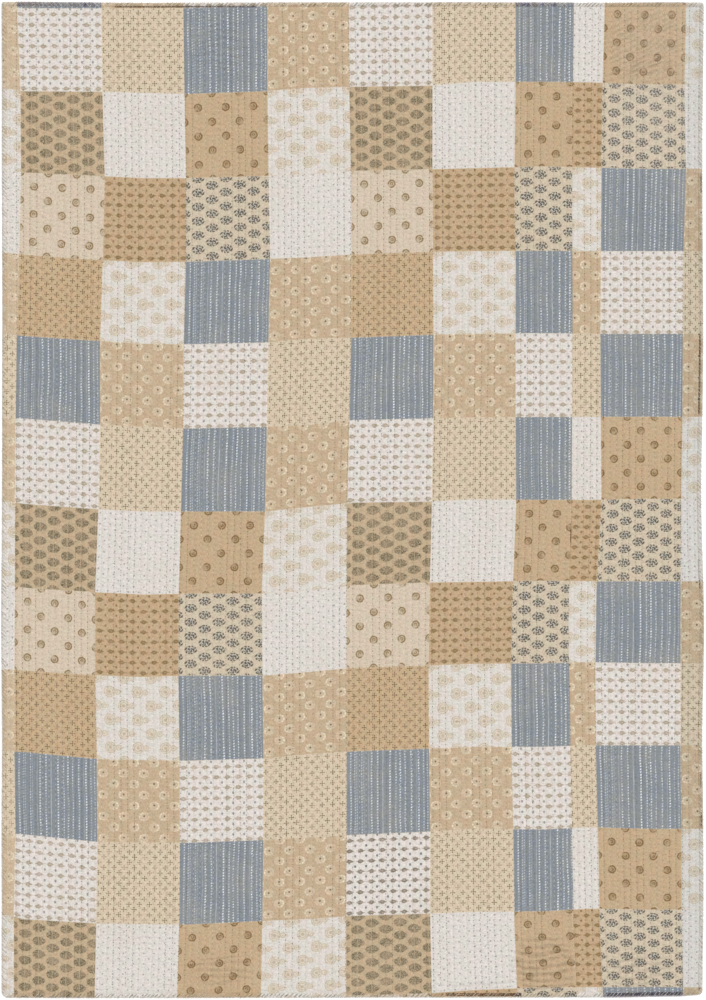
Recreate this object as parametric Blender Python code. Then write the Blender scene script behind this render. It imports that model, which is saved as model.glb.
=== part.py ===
"""Patchwork kantha quilt, laid flat.

Two widths of printed cotton, joined by one lengthwise seam, are stitched through in close rows and
overcast round a rolled rim. Metres, +Z up. The quilt lies on Z = 0 with its length along Y, and the
origin is under its middle.
"""
import bisect
import math

import bmesh
import bpy

# ---- driving sizes ----
QUILT_WIDTH = 1.270            # across, X
QUILT_LENGTH = 1.800           # along, Y
SEAM_ACROSS = 1.0317           # from the left edge to the seam between the two widths
PIECE_GAP = 0.0003             # between the two widths

ROW_PITCH = 0.012              # between two rows of running stitch
SECTIONS_ALONG = 21            # cross sections between the two end hems
TROUGH_HEIGHT = 0.0021         # cloth under a row of stitches
PUFF_HEIGHT = 0.0012           # how far the cloth stands up between two rows
PUFF_UNEVEN = 0.30             # share of the puff that comes and goes along a row
SEAM_HEIGHT = 0.0016           # cloth pulled down into the seam
SEAM_END_HEIGHT = 0.0024       # the same where it crosses the end hems
SEAM_SHOULDER = 0.004          # from the seam to full height

# cross section of the rolled, overcast rim: distance in from the edge, height
RIM_SECTION = (
    (0.0000, 0.0014),
    (0.0018, 0.0032),
    (0.0050, 0.0039),
    (0.0085, 0.0022),
)
RIM_WIDTH = RIM_SECTION[-1][0]
SAME_PLACE = 1e-6              # two distances closer than this are one
CREASE_ANGLE = math.radians(50)  # a bend past this keeps a hard line

# how far each lengthwise line strays to the right of straight, in millimetres
# columns: distance along from the foot, left edge, two lines in the wide width, seam, right edge
LINE_ACROSS = (0.0, 0.325, 0.627, SEAM_ACROSS, QUILT_WIDTH)
LINE_STRAY_MM = (
    (0.000, 0.7, -7.9, -4.0, 7.6, -3.0),
    (0.150, 0.7, -4.2, -4.0, 2.0, -1.1),
    (0.300, 0.7, -2.2, -2.7, -0.7, -1.4),
    (0.450, 1.3, -3.4, -2.7, -3.6, -3.2),
    (0.675, 0.0, -4.9, -2.7, -7.2, 0.0),
    (0.900, 1.2, 0.2, -1.6, -1.6, -5.0),
    (1.200, 1.8, 5.1, 5.4, 0.0, -1.4),
    (1.500, 1.2, 7.9, 5.4, -0.7, -3.2),
    (1.800, 0.7, 3.6, 0.9, 2.2, -0.8),
)

# how far the two ends stray along the quilt, in millimetres
# columns: distance across, foot, head
END_STRAY_MM = (
    (0.00, 0.4, 0.0),
    (0.25, 0.0, -1.6),
    (0.50, 0.6, -1.0),
    (0.80, 1.2, -0.7),
    (1.10, 1.4, -1.4),
    (1.22, 3.2, -0.8),
    (1.27, 6.0, -1.4),
)

# radius of each rounded corner: foot left, foot right, head left, head right
CORNER_RADII = {
    ("left", "foot"): 0.012,
    ("right", "foot"): 0.008,
    ("left", "head"): 0.004,
    ("right", "head"): 0.005,
}


def in_table(rows, at, column):
    """Read one column of a table at a distance, eased smoothly from row to row."""
    starts = [row[0] for row in rows]
    index = min(max(bisect.bisect_right(starts, at) - 1, 0), len(rows) - 2)
    low, high = rows[index], rows[index + 1]
    share = min(max((at - low[0]) / (high[0] - low[0]), 0.0), 1.0)
    eased = share * share * (3.0 - 2.0 * share)
    return low[column] + (high[column] - low[column]) * eased


def stray_across(across, along):
    """Sideways stray of the cloth at a point, read between the lengthwise lines."""
    strays = [in_table(LINE_STRAY_MM, along, 1 + line) for line in range(len(LINE_ACROSS))]
    rows = tuple(zip(LINE_ACROSS, strays))
    return in_table(rows, across, 1) / 1000.0


def stray_along(across, along):
    """Lengthwise stray at a point: that of the foot and of the head, shared by distance."""
    foot = in_table(END_STRAY_MM, across, 1)
    head = in_table(END_STRAY_MM, across, 2)
    share = along / QUILT_LENGTH
    return (foot + (head - foot) * share) / 1000.0


def round_corner(across, along):
    """Draw a point near an outer corner in, so that the square corner becomes an arc."""
    side = "left" if across < QUILT_WIDTH / 2 else "right"
    end = "foot" if along < QUILT_LENGTH / 2 else "head"
    radius = CORNER_RADII[(side, end)]
    centre_across = radius if side == "left" else QUILT_WIDTH - radius
    centre_along = radius if end == "foot" else QUILT_LENGTH - radius
    out_across = across - centre_across
    out_along = along - centre_along
    beyond_side = out_across < 0.0 if side == "left" else out_across > 0.0
    beyond_end = out_along < 0.0 if end == "foot" else out_along > 0.0
    if not (beyond_side and beyond_end):
        return across, along
    reach = max(abs(out_across), abs(out_along)) / math.hypot(out_across, out_along)
    return centre_across + out_across * reach, centre_along + out_along * reach


def laid_point(across, along):
    """Where a point of the flat cloth lies once the quilt is on the floor."""
    across, along = round_corner(across, along)
    x = across - QUILT_WIDTH / 2 + stray_across(across, along)
    y = along - QUILT_LENGTH / 2 + stray_along(across, along)
    return x, y


def rim_height(inset):
    """Height of the rolled rim at a distance in from the outer edge."""
    for (near, low), (far, high) in zip(RIM_SECTION, RIM_SECTION[1:]):
        if inset <= far:
            return low + (high - low) * (inset - near) / (far - near)
    return RIM_SECTION[-1][1]


def puff(column, section):
    """Share of the full puff at one place: the quilting is never quite even."""
    wave = math.sin(2.4 * column + 1.7 * section) * math.cos(0.9 * section - 0.37 * column)
    return 1.0 - PUFF_UNEVEN * (0.5 + 0.5 * wave)


def row_columns(start, end):
    """Distances across of the troughs and crests of the stitch rows, with the kind of each."""
    rows = round((end - start) / ROW_PITCH)
    step = (end - start) / rows
    columns = []
    for row in range(rows):
        columns.append((start + (row + 0.5) * step, "trough"))
        if row < rows - 1:
            columns.append((start + (row + 1.0) * step, "crest"))
    return columns


def panel_columns(left, right, rim_side):
    """All lengthwise lines of one width, from its left to its right, as (across, kind)."""
    seam_side_start = right - SEAM_SHOULDER if rim_side == "left" else left + SEAM_SHOULDER
    rim = [(inset, "rim") for inset, _ in RIM_SECTION]
    if rim_side == "left":
        inner = row_columns(left + RIM_WIDTH, seam_side_start)
        seam = [(seam_side_start, "crest"), (right, "seam")]
        return [(left + inset, kind) for inset, kind in rim] + inner + seam
    inner = row_columns(seam_side_start, right - RIM_WIDTH)
    seam = [(left, "seam"), (seam_side_start, "crest")]
    return seam + inner + [(right - inset, kind) for inset, kind in reversed(rim)]


def section_stations():
    """Distances along of the cross sections, hem to hem."""
    hem = [inset for inset, _ in RIM_SECTION]
    run = QUILT_LENGTH - 2 * RIM_WIDTH
    inner = [RIM_WIDTH + run * (index + 1) / (SECTIONS_ALONG + 1) for index in range(SECTIONS_ALONG)]
    return hem + inner + [QUILT_LENGTH - inset for inset in reversed(hem)]


def top_height(kind, column, section, inset):
    """Height of the top of the cloth at one grid point."""
    in_rim = inset < RIM_WIDTH - SAME_PLACE
    if kind == "seam":
        return min(rim_height(inset), SEAM_END_HEIGHT) if in_rim else SEAM_HEIGHT
    if in_rim:
        return rim_height(inset)
    if kind == "crest":
        return TROUGH_HEIGHT + PUFF_HEIGHT * puff(column, section)
    return TROUGH_HEIGHT


def outer_inset(across, along):
    """Distance in from the nearest outer edge of the quilt."""
    return min(across, QUILT_WIDTH - across, along, QUILT_LENGTH - along)


def shape_top(grid, columns, stations):
    """Move a grid's points to the lines and cross sections of one width."""
    count = len(columns)
    grid.verts.ensure_lookup_table()
    for index, vert in enumerate(grid.verts):
        section, column = divmod(index, count)
        across, kind = columns[column]
        along = stations[section]
        height = top_height(kind, column, section, outer_inset(across, along))
        x, y = laid_point(across, along)
        vert.co = (x, y, height)


def crease_troughs(grid, columns):
    """Keep a hard line along each row of stitches, where the cloth is pulled down."""
    count = len(columns)
    for edge in grid.edges:
        first, second = sorted(vert.index for vert in edge.verts)
        runs_along = second - first == count
        if runs_along and columns[first % count][1] == "trough":
            edge.smooth = False


def close_underneath(grid):
    """Drop a wall from the edge of the top to the floor and fill the flat underside."""
    rim = [edge for edge in grid.edges if edge.is_boundary]
    wall = bmesh.ops.extrude_edge_only(grid, edges=rim)["geom"]
    for vert in wall:
        if isinstance(vert, bmesh.types.BMVert):
            vert.co.z = 0.0
    open_edges = [edge for edge in grid.edges if edge.is_boundary]
    bmesh.ops.contextual_create(grid, geom=open_edges)
    bmesh.ops.recalc_face_normals(grid, faces=grid.faces)


def smooth_cloth(grid):
    """Shade the cloth smoothly, except where it bends sharply."""
    for face in grid.faces:
        face.smooth = True
    for edge in grid.edges:
        if edge.calc_face_angle() > CREASE_ANGLE:
            edge.smooth = False


def fabric(name, colour):
    """A plain matt cotton."""
    material = bpy.data.materials.new(name)
    material.use_nodes = True
    shader = material.node_tree.nodes["Principled BSDF"]
    shader.inputs["Base Color"].default_value = (*colour, 1.0)
    shader.inputs["Roughness"].default_value = 0.92
    shader.inputs["Metallic"].default_value = 0.0
    return material


def make_panel(name, left, right, rim_side, colour, collection):
    """One width of the quilt as a closed solid."""
    columns = panel_columns(left, right, rim_side)
    stations = section_stations()
    grid = bmesh.new()
    bmesh.ops.create_grid(grid, x_segments=len(columns) - 1, y_segments=len(stations) - 1, size=0.5)
    shape_top(grid, columns, stations)
    crease_troughs(grid, columns)
    close_underneath(grid)
    smooth_cloth(grid)
    mesh = bpy.data.meshes.new(name)
    grid.to_mesh(mesh)
    grid.free()
    mesh.materials.append(fabric(name + "_cotton", colour))
    panel = bpy.data.objects.new(name, mesh)
    collection.objects.link(panel)
    return panel


def clear_scene():
    """Remove every object that the file opened with."""
    for item in list(bpy.data.objects):
        bpy.data.objects.remove(item)


def main():
    """Build the quilt."""
    clear_scene()
    collection = bpy.data.collections.new("kantha_quilt")
    bpy.context.scene.collection.children.link(collection)
    half_gap = PIECE_GAP / 2
    make_panel("panel_wide", 0.0, SEAM_ACROSS - half_gap, "left", (0.72, 0.62, 0.48), collection)
    make_panel("panel_narrow", SEAM_ACROSS + half_gap, QUILT_WIDTH, "right", (0.66, 0.60, 0.50), collection)


main()
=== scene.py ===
import math

import bpy
import numpy as np
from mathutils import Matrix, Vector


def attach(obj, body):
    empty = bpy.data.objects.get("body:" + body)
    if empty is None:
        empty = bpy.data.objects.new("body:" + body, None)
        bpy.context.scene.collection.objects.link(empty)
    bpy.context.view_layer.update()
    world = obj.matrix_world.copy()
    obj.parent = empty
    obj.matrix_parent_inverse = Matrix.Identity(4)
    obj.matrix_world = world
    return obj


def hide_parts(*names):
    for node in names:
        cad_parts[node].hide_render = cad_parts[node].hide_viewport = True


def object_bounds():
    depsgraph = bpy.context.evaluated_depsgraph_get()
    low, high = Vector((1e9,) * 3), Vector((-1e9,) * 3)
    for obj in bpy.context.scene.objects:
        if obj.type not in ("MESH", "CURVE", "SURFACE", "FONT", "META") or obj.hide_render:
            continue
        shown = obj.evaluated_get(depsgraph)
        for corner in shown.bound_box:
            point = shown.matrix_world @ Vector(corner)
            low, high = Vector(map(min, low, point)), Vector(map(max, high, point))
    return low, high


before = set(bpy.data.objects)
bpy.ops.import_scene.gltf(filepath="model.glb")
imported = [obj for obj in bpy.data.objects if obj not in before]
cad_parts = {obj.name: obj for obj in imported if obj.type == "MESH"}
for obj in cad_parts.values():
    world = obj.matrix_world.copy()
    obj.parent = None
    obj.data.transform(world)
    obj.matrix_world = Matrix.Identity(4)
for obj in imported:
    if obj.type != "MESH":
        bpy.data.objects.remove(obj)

cadLow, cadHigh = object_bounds()
quiltWidth = cadHigh.x - cadLow.x
quiltLength = cadHigh.y - cadLow.y
mm = 0.001
wholeTurn = 2 * math.pi
random = np.random.default_rng(7)

# how the quilt lies, in metres
quilt = {
    "seamAcross": 1.0317,      # from the left edge to the seam between the two widths
    "rowPitch": 0.012,         # between two rows of running stitch
    "rimWidth": 0.0085,        # rolled and overcast rim
    "seamShoulder": 0.004,     # from the seam to full height
    "trough": 0.0021,          # cloth under a row of stitches
    "puff": 0.0012,            # how far it stands up between two rows
    "puffUneven": 0.45,        # share of the puff that comes and goes
    "seamHeight": 0.0024,
    "slitMiddle": 0.835,       # along, where the seam has come open
    "slitLength": 0.026,
    "slitHeight": 0.0005,
    "meshSections": 264,       # crosswise mesh lines of each width
}
puffWaves = ((61.0, 1.0), (143.0, 1.0), (266.0, 0.7))   # radians a metre along a row, strength

# the sheet's own edge, hidden under the rolled hem, and the trench beside it: distance in, height
rimSection = np.array((
    (0.0020, 0.0012),
    (0.0048, 0.0018),
    (0.0072, 0.0021),
    (0.0085, 0.0023),
    (0.0098, 0.0026),
))

# how far each lengthwise line strays to the right of straight, in millimetres
# columns: metres along from the foot, left edge, two lines in the wide width, seam, right edge
lineAcross = (0.0, 0.325, 0.627, quilt["seamAcross"], quiltWidth)
lineStray = np.array((
    (0.000, 0.7, -7.9, -4.0, 7.6, -3.0),
    (0.150, 0.7, -4.2, -4.0, 2.0, -1.1),
    (0.300, 0.7, -2.2, -2.7, -0.7, -1.4),
    (0.450, 1.3, -3.4, -2.7, -3.6, -3.2),
    (0.675, 0.0, -4.9, -2.7, -7.2, 0.0),
    (0.900, 1.2, 0.2, -1.6, -1.6, -5.0),
    (1.200, 1.8, 5.1, 5.4, 0.0, -1.4),
    (1.500, 1.2, 7.9, 5.4, -0.7, -3.2),
    (1.800, 0.7, 3.6, 0.9, 2.2, -0.8),
))

# how far the two ends stray along the quilt, in millimetres; columns: metres across, foot, head
endStray = np.array((
    (0.00, 0.4, 0.0),
    (0.25, 0.0, -1.6),
    (0.50, 0.6, -1.0),
    (0.80, 1.2, -0.7),
    (1.10, 1.4, -1.4),
    (1.22, 3.2, -0.8),
    (1.27, 6.0, -1.4),
))

# radius of each rounded corner: foot left, foot right, head left, head right
cornerRadius = ((0.012, 0.008), (0.004, 0.005))


def smooth(share):                        # a share held to 0 to 1 and eased at both ends
    share = np.clip(share, 0.0, 1.0)
    return share * share * (3.0 - 2.0 * share)


def pairAt(values, index):                # the values at an index and at the next one
    pair = np.take_along_axis(values, np.stack([index, index + 1], -1), -1)
    return pair[..., 0], pair[..., 1]


def eased(table, at):                     # all the columns of a table at the places asked for
    index = np.clip(np.searchsorted(table[:, 0], at, side="right") - 1, 0, len(table) - 2)
    low = table[index]
    high = table[index + 1]
    share = smooth((at - low[..., 0]) / (high[..., 0] - low[..., 0]))[..., None]
    return low[..., 1:] + (high[..., 1:] - low[..., 1:]) * share


def roundCorners(across, along):          # draws a square corner in to an arc
    isRight = across > quiltWidth / 2
    isHead = along > quiltLength / 2
    radius = np.array(cornerRadius)[isHead.astype(int), isRight.astype(int)]
    centreAcross = np.where(isRight, quiltWidth - radius, radius)
    centreAlong = np.where(isHead, quiltLength - radius, radius)
    outAcross = across - centreAcross
    outAlong = along - centreAlong
    beyond = (np.where(isRight, outAcross, -outAcross) > 0) & (np.where(isHead, outAlong, -outAlong) > 0)
    reach = np.maximum(abs(outAcross), abs(outAlong)) / np.maximum(np.hypot(outAcross, outAlong), 1e-9)
    newAcross = np.where(beyond, centreAcross + outAcross * reach, across)
    newAlong = np.where(beyond, centreAlong + outAlong * reach, along)
    return newAcross, newAlong


def strayed(across, along):               # where a point of the flat cloth lies on the floor
    strays = eased(lineStray, along)
    index = np.clip(np.searchsorted(lineAcross, across, side="right") - 1, 0, len(lineAcross) - 2)
    near = np.take(lineAcross, index)
    far = np.take(lineAcross, index + 1)
    low, high = pairAt(strays, index)
    ends = eased(endStray, across)
    x = across - quiltWidth / 2 + (low + (high - low) * smooth((across - near) / (far - near))) * mm
    foot = ends[..., 0]
    head = ends[..., 1]
    y = along - quiltLength / 2 + (foot + (head - foot) * along / quiltLength) * mm
    return x, y


def laidPoint(across, along):             # the same, with the corners rounded
    return strayed(*roundCorners(np.asarray(across, float), np.asarray(along, float)))


def widthRows(isWide):                    # first and last place of a width's stitch rows, and their number
    if isWide:
        start = quilt["rimWidth"]
        end = quilt["seamAcross"] - quilt["seamShoulder"]
    else:
        start = quilt["seamAcross"] + quilt["seamShoulder"]
        end = quiltWidth - quilt["rimWidth"]
    return start, end, round((end - start) / quilt["rowPitch"])


wideStart, wideEnd, wideCount = widthRows(True)
narrowStart, narrowEnd, narrowCount = widthRows(False)
rowPhases = random.uniform(0, wholeTurn, (wideCount + narrowCount + 1, 3))
stitchPitch = 0.0095          # from stitch to stitch along a row
stitchLength = 0.0046
rowStagger = 0.381            # share of a pitch that each row starts later than the one before


def rowPlace(across):                     # whole numbers lie between two rows of stitches
    wide = (across - wideStart) / (wideEnd - wideStart) * wideCount
    narrow = wideCount + (across - narrowStart) / (narrowEnd - narrowStart) * narrowCount
    isWide = across < quilt["seamAcross"]
    return np.where(isWide, np.minimum(wide, wideCount), np.maximum(narrow, wideCount))


def clothHeight(across, along):           # height of the top of the cloth
    place = rowPlace(across)
    ridge = np.clip(np.round(place), 0, wideCount + narrowCount).astype(int)
    phase = rowPhases[ridge]
    waves = sum(strength * np.sin(along * radians + phase[..., index])
                for index, (radians, strength) in enumerate(puffWaves))
    waves = waves / sum(strength for _, strength in puffWaves)
    share = 1.0 - quilt["puffUneven"] * (0.5 + 0.5 * waves)
    height = quilt["trough"] + quilt["puff"] * share * abs(np.cos(math.pi * place)) ** 0.75
    toSeam = np.clip(abs(across - quilt["seamAcross"]) / quilt["seamShoulder"], 0, 1)
    height = quilt["seamHeight"] + (height - quilt["seamHeight"]) * toSeam
    isOpen = abs(along - quilt["slitMiddle"]) < quilt["slitLength"] / 2
    isSlit = isOpen & (abs(across - quilt["seamAcross"]) < 0.0005)
    height = np.where(isSlit, quilt["slitHeight"], height)
    inset = np.minimum(np.minimum(across, quiltWidth - across), np.minimum(along, quiltLength - along))
    return np.where(inset < rimSection[-1, 0], np.interp(inset, rimSection[:, 0], rimSection[:, 1]), height)


# camera, light and floor
view = {
    "height": 6.0,             # camera above the floor
    "frameTall": 1.8065,       # metres that the frame's long side takes in
    "aim": (0.0005, -0.0002),
    "sensorWidth": 36.0,
    "skyColour": (1.0, 0.995, 0.985, 1.0),
    "skyStrength": 0.735,
    "lampStrength": 1.115,
    "lampFrom": (1.0, 1.3, 1.5),
    "lampSpread": 24.0,        # degrees, which sets how soft its shadows are
    "floorSide": 60.0,
    "floorHeight": -0.0003,
    "floorColour": (0.93, 0.93, 0.93, 1.0),
    "floorGlow": 0.35,         # a lit table under the quilt, so that its outline stays light
}


def addObject(name, data):
    made = bpy.data.objects.new(name, data)
    bpy.context.scene.collection.objects.link(made)
    return made


def setUpView():
    camera = bpy.data.cameras.new("overheadCamera")
    cameraObject = addObject("overheadCamera", camera)
    camera.sensor_width = view["sensorWidth"]
    camera.lens = view["sensorWidth"] * view["height"] / view["frameTall"]
    cameraObject.location = (*view["aim"], view["height"])
    bpy.context.scene.camera = cameraObject

    lamp = bpy.data.lights.new("softBox", "SUN")
    lamp.energy = view["lampStrength"]
    lamp.angle = math.radians(view["lampSpread"])
    lampObject = addObject("softBox", lamp)
    lampObject.location = view["lampFrom"]
    lampObject.rotation_mode = "QUATERNION"
    lampObject.rotation_quaternion = lampObject.location.to_track_quat("Z", "Y")

    world = bpy.data.worlds.new("studio")
    world.use_nodes = True
    background = world.node_tree.nodes["Background"]
    background.inputs["Color"].default_value = view["skyColour"]
    background.inputs["Strength"].default_value = view["skyStrength"]
    bpy.context.scene.world = world
    bpy.context.scene.view_settings.view_transform = "Standard"

    bpy.ops.object.select_all(action="DESELECT")
    bpy.ops.mesh.primitive_plane_add(size=view["floorSide"], location=(0, 0, view["floorHeight"]))
    floor = bpy.context.object
    floor.name = "floor"
    paper = bpy.data.materials.new("floorPaper")
    paper.use_nodes = True
    sockets = paper.node_tree.nodes["Principled BSDF"].inputs
    sockets["Base Color"].default_value = view["floorColour"]
    sockets["Roughness"].default_value = 0.9
    sockets["Emission Color"].default_value = (1.0, 1.0, 1.0, 1.0)
    sockets["Emission Strength"].default_value = view["floorGlow"]
    floor.data.materials.append(paper)


setUpView()
print("view set up")


class Wire:
    # one shader socket; arithmetic on wires adds Math nodes
    def __init__(self, tree, socket=None):
        self.tree = tree
        self.socket = socket

    def node(self, kind, settings, inputs, output=0):
        made = self.tree.nodes.new(kind)
        for name, value in settings.items():
            if name == "stops":
                fillRamp(made.color_ramp, value)
            else:
                setattr(made, name, value)
        for name, value in inputs.items():
            if isinstance(value, Wire):
                self.tree.links.new(value.socket, made.inputs[name])
            else:
                made.inputs[name].default_value = value
        return Wire(self.tree, made.outputs[output])

    def beside(self, output):             # another output of the same node
        return Wire(self.tree, self.socket.node.outputs[output])

    def split(self):                      # the first two numbers of a vector
        first = self.node("ShaderNodeSeparateXYZ", {}, {"Vector": self})
        return first, first.beside("Y")

    def mapped(self, name):               # one of the cloth's own UV maps
        return self.node("ShaderNodeUVMap", {"uv_map": name}, {})

    def math(self, operation, *values):
        inputs = dict(enumerate(values))
        return self.node("ShaderNodeMath", {"operation": operation}, inputs)

    def __add__(self, other):
        return self.math("ADD", self, other)

    def __radd__(self, other):
        return self.math("ADD", other, self)

    def __sub__(self, other):
        return self.math("SUBTRACT", self, other)

    def __rsub__(self, other):
        return self.math("SUBTRACT", other, self)

    def __mul__(self, other):
        return self.math("MULTIPLY", self, other)

    def __rmul__(self, other):
        return self.math("MULTIPLY", other, self)

    def __truediv__(self, other):
        return self.math("DIVIDE", self, other)

    def __mod__(self, other):
        return self.math("FLOORED_MODULO", self, other)

    def __gt__(self, other):
        return self.math("GREATER_THAN", self, other)

    def __lt__(self, other):
        return self.math("LESS_THAN", self, other)

    def __abs__(self):
        return self.math("ABSOLUTE", self)

    def floor(self):
        return self.math("FLOOR", self)

    def sine(self):
        return self.math("SINE", self)

    def least(self, other):
        return self.math("MINIMUM", self, other)

    def most(self, other):
        return self.math("MAXIMUM", self, other)

    def squared(self):
        return self.math("MULTIPLY", self, self)

    def root(self):
        return self.math("SQRT", self)

    def isNear(self, place, halfWidth):
        return self.math("COMPARE", self, place, halfWidth)

    def soft(self, low, high, start=0.0, end=1.0):      # eased step from low to high
        inputs = {"Value": self, "From Min": low, "From Max": high, "To Min": start, "To Max": end}
        return self.node("ShaderNodeMapRange", {"interpolation_type": "SMOOTHSTEP"}, inputs)


def fillRamp(ramp, stops):                # stops of equal length, each one flat colour
    ramp.interpolation = "CONSTANT"
    for index, colour in enumerate(stops):
        place = index / len(stops)
        stop = ramp.elements[0] if index == 0 else ramp.elements.new(place)
        stop.color = (*colour, 1.0)
    ramp.elements.remove(ramp.elements[len(ramp.elements) - 1])


def dyed(*shown):                         # a colour as a screen shows it, 0 to 255, made linear
    return tuple(((value / 255 + 0.055) / 1.055) ** 2.4 for value in shown)


def dye(*shown):                          # the same for a socket, which takes a fourth number
    return (*dyed(*shown), 1.0)


def mixed(low, high, factor):             # two colours by a factor
    wire = next(item for item in (factor, low, high) if isinstance(item, Wire))
    inputs = {0: factor, 6: low, 7: high}
    return wire.node("ShaderNodeMix", {"data_type": "RGBA"}, inputs, 2)


untinted = (1.0, 1.0, 1.0, 1.0)


def mixedNumbers(low, high, factor):
    return low + (high - low) * factor


def tinted(colour, tint):                 # a colour multiplied by another
    return colour.node("ShaderNodeVectorMath", {"operation": "MULTIPLY"}, {0: colour, 1: tint})


def shaded(colour, strength):             # a colour multiplied by a number
    return colour.node("ShaderNodeVectorMath", {"operation": "SCALE"}, {0: colour, "Scale": strength})


def stained(colour, tint, share):         # a colour multiplied by a share of another
    return tinted(colour, mixed(untinted, tint, share))


# one square of the print, in millimetres
squareWide = 150.5
squareLong = 149.5

# the printed lines, in millimetres from the left edge
# columns: metres along from the foot, seven lines of the wide width, two of the narrow one
printLines = np.array((
    (0.005, 23, 169, 318, 469, 623, 778, 932, 1087, 1232),
    (0.141, 23, 172, 322, 472, 623, 775, 927, 1081, 1229),
    (0.294, 26, 174, 323, 474, 624, 775, 925, 1078, 1229),
    (0.439, 24, 173, 322, 474, 624, 773, 922, 1074, 1227),
    (0.592, 24, 170, 320, 472, 624, 772, 921, 1073, 1227),
    (0.737, 25, 170, 321, 471, 624, 774, 924, 1075, 1227),
    (0.890, 25, 176, 325, 477, 625, 778, 930, 1084, 1228),
    (1.035, 26, 179, 329, 480, 629, 780, 929, 1083, 1230),
    (1.188, 28, 179, 330, 483, 632, 781, 929, 1082, 1231),
    (1.342, 33, 184, 334, 486, 633, 780, 929, 1083, 1232),
    (1.486, 36, 187, 334, 483, 632, 779, 927, 1084, 1237),
    (1.640, 35, 183, 331, 481, 629, 779, 929, 1086, 1234),
    (1.790, 29, 181, 329, 481, 628, 779, 929, 1090, 1237),
))

# the crosswise printed lines, in millimetres from the head; one row a line, one column a place across
printPlaces = (0.015, 0.040, 0.176, 0.257, 0.338, 0.478, 0.553,
               0.636, 0.774, 0.853, 0.980, 1.061, 1.165, 1.255)
crossPrintLines = np.array((
    (8.5, 12.5, 12.6, 13.0, 12.0, 8.8, 4.0, 0.0, -5.0, -7.0, -7.0, -4.0, -1.5, -1.5),
    (158, 162, 163, 165, 167, 162, 156, 154, 152, 145, 145, 146, 150, 150),
    (306, 309, 315, 319, 319, 315, 312, 306, 303, 301, 298, 300, 302, 302),
    (454, 457, 467, 471, 470, 465, 462, 457, 452, 451, 450, 451, 451, 451),
    (600, 604, 613, 618, 619, 616, 609, 607, 602, 600, 599, 600, 600, 600),
    (753, 753, 764, 768, 771, 768, 765, 756, 753, 751, 750, 750, 750, 750),
    (903, 907, 917, 921, 921, 921, 913, 905, 903, 899, 900, 900, 898, 898),
    (1054, 1059, 1067, 1071, 1069, 1069, 1064, 1054, 1049, 1048, 1046, 1047, 1047, 1047),
    (1206, 1208, 1217, 1220, 1217, 1217, 1211, 1203, 1199, 1196, 1195, 1193, 1195, 1195),
    (1354, 1355, 1368, 1370, 1371, 1367, 1359, 1354, 1349, 1346, 1346, 1343, 1343, 1343),
    (1502, 1504, 1518, 1519, 1519, 1514, 1510, 1505, 1499, 1494, 1495, 1491, 1494, 1494),
    (1650, 1657, 1665, 1666, 1667, 1660, 1657, 1651, 1647, 1644, 1643, 1638, 1640, 1640),
    (1800, 1803, 1806, 1808, 1808, 1804, 1798, 1795, 1791, 1785, 1780, 1780, 1779, 1780),
))


def squaresAt(at, lines, size):           # how many squares on from the first printed line a place is
    lines = np.stack(lines, -1)
    lines = np.concatenate([lines[..., :1] - size, lines, lines[..., -1:] + size], -1)
    index = np.clip(np.sum(lines <= at[..., None], -1) - 1, 0, lines.shape[-1] - 2)
    low, high = pairAt(lines, index)
    return index - 1 + (at - low) / (high - low)


def printPlace(x, y, isWide):             # column and row of the print, in squares, under a laid point
    across = (x + quiltWidth / 2) / mm
    along = y + quiltLength / 2
    columns = printLines[:, 1:8] if isWide else printLines[:, 8:]
    lines = [np.interp(along, printLines[:, 0], column) for column in columns.T]
    cross = [np.interp(across, np.array(printPlaces) / mm, row) for row in crossPrintLines]
    column = squaresAt(across, lines, squareWide)
    row = squaresAt((quiltLength - along) / mm, cross, squareLong)
    return (column, row) if isWide else (column + 2, row + 1)


# the cloths of the print: motif, colours of ground, mark and second mark, and how the marks repeat:
# millimetres from column to column and down a column, and the drop of every other column
fabrics = {
    "leafWhite": ("leaf", (231, 226, 221), (181, 166, 147), (139, 139, 144), (19.7, 19.1, 0.0)),
    "starCream": ("star", (221, 206, 182), (128, 102, 70), (170, 142, 108), (9.3, 19.2, 0.5)),
    "stripeBlue": ("stripe", (139, 146, 153), (240, 243, 249), (180, 188, 196), (20.0, 5.0, 0.0)),
    "flowerTan": ("flower", (202, 179, 150), (238, 226, 202), (98, 80, 60), (18.5, 39.0, 0.5)),
    "paisleyWhite": ("paisley", (227, 223, 217), (208, 191, 162), (190, 168, 134), (25.1, 50.0, 0.5)),
    "seedTan": ("seed", (200, 178, 147), (106, 95, 70), (214, 200, 176), (25.3, 24.6, 0.5)),
    "dotWhite": ("dot", (228, 224, 219), (146, 143, 142), (190, 178, 160), (9.3, 20.0, 0.5)),
    "ringTan": ("ring", (201, 176, 143), (138, 110, 70), (186, 160, 124), (25.1, 50.8, 0.5)),
    "ringCream": ("ring", (219, 204, 184), (150, 125, 84), (196, 174, 142), (25.4, 50.4, 0.5)),
    "leafTan": ("leaf", (201, 174, 140), (148, 121, 82), (132, 104, 66), (19.7, 18.6, 0.0)),
    "bloomCream": ("bloom", (214, 201, 179), (96, 93, 84), (190, 197, 202), (25.2, 25.4, 0.5)),
    "starTan": ("star", (204, 178, 143), (116, 88, 56), (160, 132, 96), (9.3, 18.8, 0.5)),
}
motifShare = 1 / 16           # one motif's share of the ramp's full value

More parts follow.
